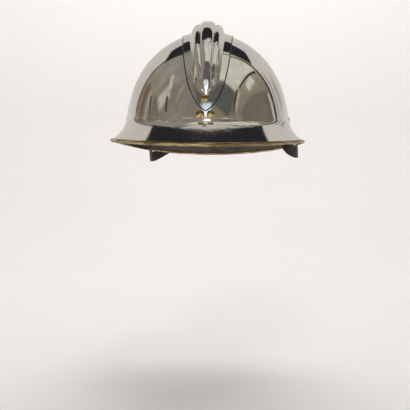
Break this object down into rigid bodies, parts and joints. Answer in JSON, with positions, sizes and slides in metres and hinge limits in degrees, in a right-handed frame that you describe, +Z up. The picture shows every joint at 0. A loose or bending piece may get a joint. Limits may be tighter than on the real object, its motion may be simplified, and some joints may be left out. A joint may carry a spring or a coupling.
{
  "type": "adrian helmet",
  "caption": "Mirror-plated pressed steel helmet with a flared brim, a ribbed crest, a brass bead round its rim and a leather chin strap stowed over the visor.",
  "frame": {"origin": "the inside of the crown's top, where the wearer's head carries the helmet", "axes": "+Z up, +Y the wearer's forward, towards the visor, +X the wearer's right"},
  "size_m": [0.2341, 0.3014, 0.1651],
  "materials": {
    "plated_shell": "mirror nickel plating, lightly dented and rubbed, duller inside",
    "plated_crest": "mirror nickel plating, rubbed along the ribs",
    "bead_brass": "rolled brass strip, aged, with brown patches",
    "rivet_brass": "domed brass, polished on top and tarnished at its edge",
    "hanger_steel": "plain stamped steel",
    "strap_leather": "black leather, creased, with worn brown edges"
  },
  "bodies": {
    "root": {"shell": "plated_shell", "crest": "plated_crest", "rim_bead": "bead_brass", "crest_rivet_back_tip": "rivet_brass", "crest_rivet_back_left": "rivet_brass", "crest_rivet_back_right": "rivet_brass", "crest_rivet_front_tip": "rivet_brass", "crest_rivet_front_left": "rivet_brass", "crest_rivet_front_right": "rivet_brass", "strap_stud_left": "rivet_brass", "strap_stud_right": "rivet_brass", "strap_hanger_left": "hanger_steel", "strap_hanger_right": "hanger_steel", "chin_strap": "strap_leather"}
  },
  "joints": []
}
